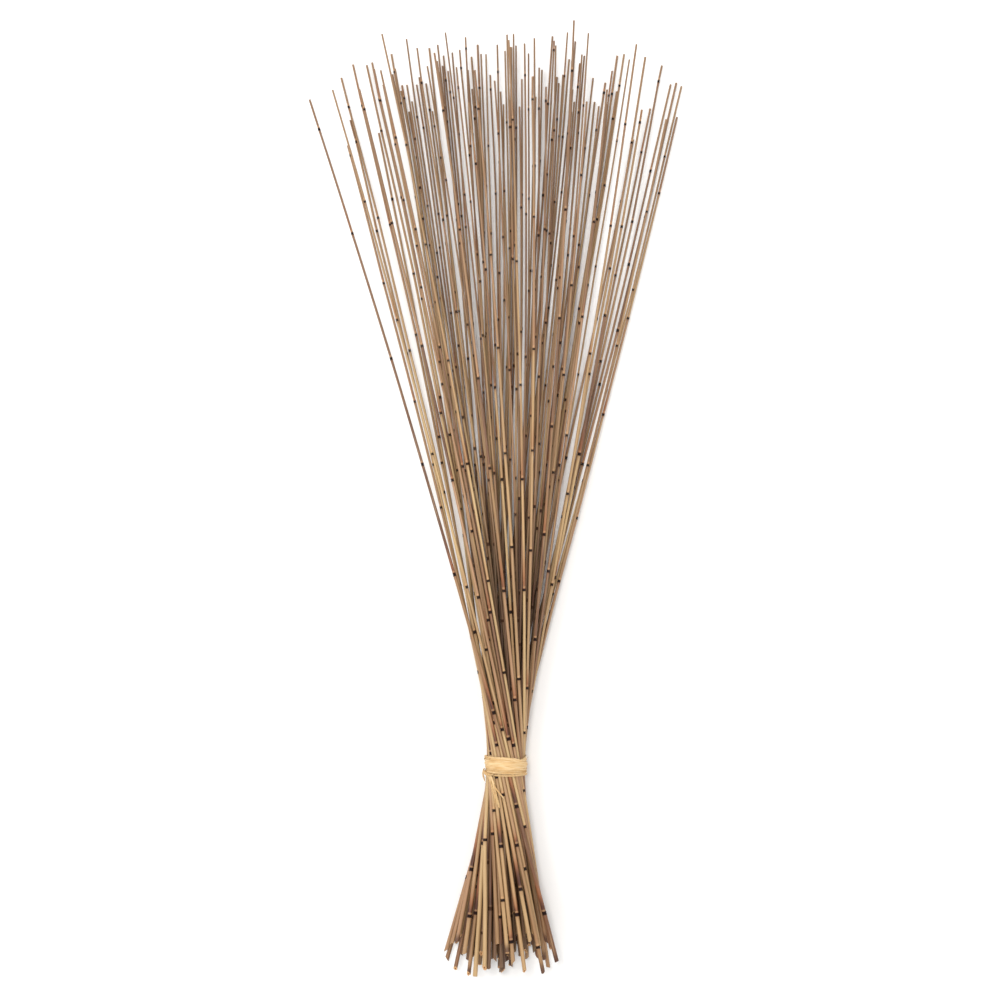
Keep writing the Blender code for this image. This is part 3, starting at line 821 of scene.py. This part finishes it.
def strip_over(stops, pleat=PLEAT):
    """A grid of points for a strip that lies on what is laid. A stop is (turn, along, half width, lift),
    in degrees and millimetres."""
    stops = np.array(stops, float)
    turn_stop, along_stop = np.radians(stops[:, 0]), stops[:, 1] / 1000
    run = np.concatenate([[0], np.cumsum(np.hypot(np.diff(turn_stop) * tie_radius, np.diff(along_stop)))])
    count = max(int(run[-1] / 0.0007), 12)
    at = np.linspace(0, run[-1], count)
    reach = 5 if run[-1] > 0.04 else 2
    turns = eased(np.interp(at, run, turn_stop), reach)
    alongs = eased(np.interp(at, run, along_stop), reach)
    half = eased(np.interp(at, run, stops[:, 2] / 1000), reach) * (1 + FRAYED * wander(count, 6))
    lift = eased(np.interp(at, run, stops[:, 3] / 1000), reach)
    heading = np.stack([np.gradient(turns) * tie_radius, np.gradient(alongs)], axis=1)
    heading /= np.linalg.norm(heading, axis=1)[:, None]
    v = np.linspace(-1, 1, STRIP_SAMPLES)
    edge = np.ones((count, STRIP_SAMPLES))
    edge[:, 0] += FRAYED * wander(count, 2)
    edge[:, -1] += FRAYED * wander(count, 2)
    offset = half[:, None] * v[None, :] * edge
    wide_turn = turns[:, None] - heading[:, 1:] * offset / tie_radius
    wide_along = alongs[:, None] + heading[:, :1] * offset
    base = read_laid(wide_turn, wide_along)
    raised = np.maximum(base, np.maximum(np.roll(base, 1, axis=0), np.roll(base, -1, axis=0)))
    raised[:, 1:-1] = np.maximum(raised[:, 1:-1], 0.5 * (raised[:, :-2] + raised[:, 2:]))
    radius = np.maximum(eased(raised, 2), base) + LAID_CLEAR + STRIP_DEPTH / 2 + lift[:, None]
    folds = np.zeros_like(radius)
    for wave in (2.3, 4.1, 7.3):
        phase = chance.uniform(0, 2 * math.pi) + 1.3 * wander(count, 14)[:, None]
        folds += np.cos(wave * v[None, :] + phase) / wave**0.5
    radius += pleat * (folds + 1.2)
    for i in range(count):
        ring = int(round(turns[i] / (2 * math.pi) * WRAP_STEPS)) % WRAP_STEPS
        order = np.argsort(wide_along[i])
        span = (ROWS >= wide_along[i].min()) & (ROWS <= wide_along[i].max())
        top = np.interp(ROWS[span], wide_along[i][order], radius[i][order]) + STRIP_DEPTH / 2
        laid[ring, span] = np.maximum(laid[ring, span], top)
    places = out_from_tie(wide_turn) * radius[:, :, None]
    places[:, :, 1] = wide_along
    return places + np.array(tie), at, v


def strip_piece(name, strips):
    """One piece of creased strips, each a grid of points given a thin even thickness."""
    verts, faces, across, along, seeds = [], [], [], [], []
    for places, at, v in strips:
        count, samples = places.shape[:2]
        start = len(verts)
        verts += places.reshape(-1, 3).tolist()
        faces += [
            (start + i * samples + j, start + i * samples + j + 1,
             start + (i + 1) * samples + j + 1, start + (i + 1) * samples + j)
            for i in range(count - 1) for j in range(samples - 1)
        ]
        across += np.tile(v, count).tolist()
        along += np.repeat(at, samples).tolist()
        seeds += [chance.uniform(0, 1)] * (count * samples)
    mesh = bpy.data.meshes.new(name)
    mesh.from_pydata(verts, [], faces)
    for key, values in (("across", across), ("along", along), ("seed", seeds)):
        mesh.attributes.new(key, "FLOAT", "POINT").data.foreach_set("value", values)
    mesh.materials.append(straw)
    mesh.shade_smooth()
    piece = bpy.data.objects.new(name, mesh)
    bpy.context.scene.collection.objects.link(piece)
    thicken = piece.modifiers.new("thickness", "SOLIDIFY")
    thicken.thickness = STRIP_DEPTH
    thicken.offset = 0.0
    graph = bpy.context.evaluated_depsgraph_get()
    made = bpy.data.meshes.new_from_object(
        piece.evaluated_get(graph), preserve_all_data_layers=True, depsgraph=graph
    )
    piece.modifiers.clear()
    piece.data = made
    return piece


straw = bpy.data.materials.new("dry_raffia")
straw.use_nodes = True
tree = straw.node_tree
straw_surface = tree.nodes["Principled BSDF"]
seed = attribute(tree, "seed")[0]
along = attribute(tree, "along")[0]
across = put(tree, "ShaderNodeCombineXYZ", {0: attribute(tree, "across")[0]}).outputs[0]
grain = fibres(tree, across, along, seed, 7.0, 0.012)
colour = tinted(
    tree,
    worked(tree, "MULTIPLY_ADD", grain["Patches"], 0.9, worked(tree, "MULTIPLY_ADD", seed, 0.35, -0.12)),
    [
        (0.20, shade(202, 165, 112)),
        (0.45, shade(212, 175, 122)),
        (0.62, shade(224, 194, 146)),
        (0.85, shade(196, 150, 92)),
    ],
)
colour = blended(tree, ranged(tree, grain["Streaks"], 0.50, 0.68, 0.0, 0.7), colour, shade(190, 138, 78))
colour = blended(tree, ranged(tree, grain["Streaks"], 0.50, 0.34, 0.0, 0.7), colour, shade(230, 206, 166))
colour = blended(tree, ranged(tree, grain["Flecks"], 0.70, 0.80, 0.0, 0.5), colour, shade(176, 120, 64))
tree.links.new(colour, straw_surface.inputs["Base Color"])
tree.links.new(ranged(tree, grain["Streaks"], 0.3, 0.7, 0.55, 0.75), straw_surface.inputs["Roughness"])
straw_surface.inputs["Specular IOR Level"].default_value = 0.3
height = worked(tree, "MULTIPLY_ADD", grain["Flecks"], 0.5, grain["Streaks"])
relief = put(tree, "ShaderNodeBump", {"Strength": 0.9, "Distance": 0.0004, "Height": height})
tree.links.new(relief.outputs[0], straw_surface.inputs["Normal"])

wraps = [
    strip_over([(185, -10.6, 0.7, 0), (60, -10.7, 0.7, 0), (0, -10.9, 0.7, 0),
                (-60, -10.6, 1.1, 0.1), (-185, -10.6, 0.7, 0)]),
    strip_over([(190, -3.4, 4.4, 0), (80, -3.0, 4.8, 0), (0, -3.6, 5.0, 0), (-80, -3.6, 4.6, 0),
                (-190, -3.4, 4.4, 0)]),
    strip_over([(190, 3.4, 4.2, 0), (90, 4.2, 4.0, 0), (0, 3.6, 4.2, 0), (-60, 1.8, 3.4, 0),
                (-100, 2.2, 3.6, 0), (-190, 3.4, 4.2, 0)]),
    strip_over([(-185, 6.0, 2.0, 0), (-100, 7.2, 2.1, 0), (-80, 6.6, 2.2, 0), (-55, 4.4, 2.0, 0),
                (-30, 1.8, 1.8, 0), (10, -0.8, 1.4, 0)]),
    strip_over([(180, 4.8, 2.4, 0), (90, 6.4, 2.6, 0), (55, 6.2, 2.5, 0.1), (0, 5.9, 2.6, 0.1),
                (-25, 5.0, 2.6, 0.1), (-50, 2.8, 2.2, 0.1), (-75, 0.4, 2.2, 0),
                (-180, -2.0, 2.4, 0)], pleat=0.0002),
    strip_over([(186, -0.2, 4.6, 0), (80, 0.6, 4.6, 0), (30, 0.4, 4.9, 0), (-20, -0.8, 4.9, 0),
                (-70, -1.8, 4.4, 0), (-186, -0.2, 4.6, 0)], pleat=0.0002),
    strip_over([(172, -6.5, 1.6, 0), (95, -6.8, 1.7, 0), (40, -6.0, 1.8, 0), (-30, -5.8, 1.8, 0),
                (-90, -6.6, 2.0, 0), (-172, -6.5, 1.6, 0)]),
    strip_over([(160, -8.8, 1.0, 0.1), (80, -8.4, 1.0, 0.2), (20, -8.3, 0.9, 0.3),
                (-40, -8.6, 1.0, 0.3), (-60, -9.2, 1.6, 0.2), (-90, -9.6, 1.9, 0.1),
                (-160, -9.0, 1.2, 0)], pleat=0.00026),
    strip_over([(112, 4.0, 1.8, 0.0), (92, 7.0, 1.9, 0.2), (76, 8.6, 1.5, 0.3), (62, 7.6, 1.0, 0.2),
                (48, 6.4, 0.5, 0.1)], pleat=0.00026),
]
wrap_piece = strip_piece("raffia_wraps", wraps)
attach(wrap_piece, "root")
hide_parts("raffia_band")

# Knot and loose ends: the strip is tucked back over the lower edge of the wraps at the left, where it
# folds on itself, and two pleated ends hang from there along the reeds. They have split into finer
# strands; one thin twisted strand turns off to the right and a short one hangs at the far left.
END_SAMPLES = 9


def strip_along(stops, fold=0.35, twist=(0.0, 0.0), ragged=0.05):
    """A grid of points for a strip that hangs free. A stop is (turn, along, half width, out), in degrees
    and millimetres, with out measured from the middle of the waist."""
    stops = np.array(stops, float)
    lines = np.stack([
        -np.sin(np.radians(stops[:, 0])) * stops[:, 3],
        stops[:, 1],
        np.cos(np.radians(stops[:, 0])) * stops[:, 3],
    ], axis=1)
    run = np.concatenate([[0], np.cumsum(np.linalg.norm(np.diff(lines, axis=0), axis=1))])
    at = np.linspace(0, run[-1], max(int(run[-1] / 0.6), 10))
    centre = eased(np.stack([through(run, lines, at)[:, k] for k in range(3)], axis=1), 2)
    half = np.interp(at, run, stops[:, 2]) * (1 + ragged * wander(len(at), 5))
    ahead = np.gradient(centre, axis=0)
    ahead /= np.linalg.norm(ahead, axis=1)[:, None]
    out = centre * np.array([1.0, 0.0, 1.0])
    out -= ahead * (out * ahead).sum(axis=1)[:, None]
    out /= np.linalg.norm(out, axis=1)[:, None]
    side = np.cross(ahead, out)
    turn = np.radians(np.interp(at, [0, run[-1]], twist) + 6 * wander(len(at), 8))[:, None]
    side, out = side * np.cos(turn) + out * np.sin(turn), out * np.cos(turn) - side * np.sin(turn)
    v = np.linspace(-1, 1, END_SAMPLES)
    phase = chance.uniform(0, 2 * math.pi) + 0.8 * wander(len(at), 8)[:, None]
    folds = fold * (np.cos(3.4 * v[None, :] + phase) + 0.4 * np.cos(7.1 * v[None, :] - phase))
    folds = folds * np.minimum(half, 1.0)[:, None]
    places = centre[:, None] + side[:, None] * (half[:, None] * v)[:, :, None]
    places = places + out[:, None] * folds[:, :, None]
    return places / 1000 + np.array(tie), at / 1000, v


def add_strips(name, node, strips):
    """One piece of raffia strips, on the root body, that stands for a part of the frame."""
    piece = strip_piece(name, strips)
    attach(piece, "root")
    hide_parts(node)


add_strips("raffia_tie_knot", "raffia_knot", [
    strip_over([(10, -7.4, 0.2, 0.0), (24, -7.2, 1.0, 0.1), (44, -7.2, 1.6, 0.3),
                (60, -7.6, 1.7, 0.7), (74, -8.2, 1.2, 0.9), (82, -8.0, 0.7, 0.6),
                (92, -7.4, 0.6, 0.2)], pleat=0.00030),
    strip_along([(92, -5.2, 0.5, 22.6), (82, -6.4, 1.3, 24.4), (70, -7.6, 1.7, 25.2),
                 (60, -9.0, 1.8, 25.2), (52, -11.4, 1.7, 24.0), (47, -14.4, 1.3, 22.6),
                 (45, -17.0, 0.3, 22.2)], fold=0.5),
    strip_along([(74, -6.2, 0.4, 24.4), (66, -7.0, 1.4, 24.9), (58, -8.8, 1.5, 25.6),
                 (50, -10.0, 1.3, 25.0), (42, -10.0, 0.9, 24.0), (34, -9.4, 0.3, 23.2)],
                fold=0.5, twist=(0, 50)),
])
add_strips("raffia_end_long", "raffia_tail_main", [
    strip_along([(62, -8.4, 1.5, 24.6), (56, -11.5, 1.7, 23.3), (49, -16.5, 1.8, 22.2),
                 (41, -22.0, 1.7, 21.9), (35, -28.0, 1.6, 21.9), (30, -34.0, 1.3, 22.1),
                 (27, -39.0, 0.9, 22.4), (26, -42.0, 0.2, 22.5)], fold=0.45),
    strip_along([(50, -9.0, 1.2, 24.4), (44, -12.0, 1.4, 23.2), (39, -17.0, 1.4, 22.5),
                 (34.5, -22.5, 1.4, 22.3), (30, -29.0, 1.3, 22.2), (25, -36.0, 1.1, 22.4),
                 (20, -42.0, 0.7, 22.7), (18.5, -45.0, 0.2, 22.8)], fold=0.5, twist=(0, 30)),
    strip_along([(46, -17.0, 0.2, 22.4), (42, -22.0, 0.8, 22.5), (36, -28.0, 0.9, 22.5),
                 (31.5, -36.0, 0.8, 22.7), (29.5, -41.0, 0.5, 22.9), (29, -44.0, 0.15, 22.9)],
                fold=0.4, twist=(0, -40)),
    strip_along([(33, -26.0, 0.5, 22.7), (25, -33.0, 0.6, 22.7), (18.5, -40.0, 0.4, 22.8),
                 (16, -45.0, 0.25, 23.0)], fold=0.3, twist=(0, 60)),
])
add_strips("raffia_end_fork", "raffia_tail_fork", [
    strip_along([(34, -20.0, 0.6, 22.6), (29, -24.0, 0.8, 22.5), (22, -27.0, 0.8, 22.6),
                 (15, -30.2, 0.75, 22.8), (8.5, -33.2, 0.55, 23.0), (5.5, -35.0, 0.15, 23.1)],
                fold=0.75, twist=(0, 70), ragged=0.03),
])
add_strips("raffia_end_short", "raffia_tail_short", [
    strip_along([(68, -7.4, 0.5, 24.2), (77, -7.8, 0.7, 24.7), (81, -9.6, 0.75, 24.8),
                 (79, -13.0, 0.75, 24.2), (76, -16.4, 0.5, 23.4), (75, -18.4, 0.12, 23.1)],
                fold=0.75, twist=(0, 80), ragged=0.03),
])

# Loose fibres: fine threads that have peeled off the dry strip along the edges of the wraps and at the
# loose ends. Each one is a round thread that thins towards its tip.
HAIR_SIDES = 5
EDGE_HAIRS = 26
END_HAIRS = 14
hair_tree, given, result = new_tree(
    "thread",
    "GeometryNodeTree",
    [("Line", "NodeSocketGeometry"), ("Sides", "NodeSocketInt"), ("Straw", "NodeSocketMaterial")],
    [("Thread", "NodeSocketGeometry")],
)
line = put(hair_tree, "GeometryNodeMeshToCurve", {"Mesh": given["Line"]}).outputs[0]
ring = put(hair_tree, "GeometryNodeCurvePrimitiveCircle", {"Resolution": given["Sides"], "Radius": 1.0})
thread = put(
    hair_tree,
    "GeometryNodeCurveToMesh",
    {"Curve": line, "Profile Curve": ring.outputs[0], "Scale": kept(hair_tree, "thick"), "Fill Caps": True},
)
thread = put(hair_tree, "GeometryNodeSetShadeSmooth", {"Geometry": thread.outputs[0], "Shade Smooth": True})
thread = put(hair_tree, "GeometryNodeRealizeInstances", {"Geometry": thread.outputs[0]})
thread = put(
    hair_tree, "GeometryNodeSetMaterial", {"Geometry": thread.outputs[0], "Material": given["Straw"]}
)
hair_tree.links.new(thread.outputs[0], result["Thread"])

bare_thread = plain_plant(
    "raffia_thread", shade(206, 168, 110), shade(238, 210, 160), 700.0, 0.6, 0.00002
)


def hair_line(turn, along, out, heading, length, thick):
    """One thread from a place on the tie, heading round (degrees) and along (mm), that curls as it goes."""
    steps = 12
    share = np.linspace(0, 1, steps)
    turns = np.radians(turn + heading[0] * share + 5 * length / 12 * wander(steps, 4) * share)
    alongs = along + heading[1] * share + 0.9 * length / 12 * wander(steps, 4) * share
    outs = out + chance.uniform(0.2, 1.4) * share * length / 8
    places = np.stack([-np.sin(turns) * outs, alongs, np.cos(turns) * outs], axis=1) / 1000 + np.array(tie)
    return {"place": places, "thick": thick / 1000 * (1 - 0.7 * share)}


def add_hairs(name, node, lines):
    """One piece of loose threads, on the root body, beside the strips that it peels from."""
    settings = {"Sides": HAIR_SIDES, "Straw": bare_thread}
    piece = shaped(name, chain_mesh(name, lines), hair_tree, settings)
    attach(piece, "root")
    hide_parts(node)


hairs = []
for index in range(EDGE_HAIRS):
    upper = index % 2 == 0
    length = chance.uniform(3.0, 9.0)
    sideways = chance.choice([-1, 1]) * length * 2.0
    heading = (sideways, (1 if upper else -1) * chance.uniform(0.2, 0.45) * length)
    edge = 6.6 if upper else -8.4
    turn = chance.uniform(-85, 85)
    out = tie_radius * 1000 + 0.2
    hairs.append(hair_line(turn, edge, out, heading, length, chance.uniform(0.06, 0.12)))
add_hairs("raffia_edge_threads", "raffia_band", hairs)
hairs = []
for index in range(END_HAIRS):
    start = chance.uniform(0, 1)
    length = chance.uniform(5.0, 13.0)
    turn = 52 - 30 * start + chance.uniform(-3, 3)
    heading = (chance.uniform(-16, 8), -length)
    hairs.append(hair_line(turn, -12 - 26 * start, 22.9, heading, length, chance.uniform(0.06, 0.13)))
add_hairs("raffia_end_threads", "raffia_tail_main", hairs)
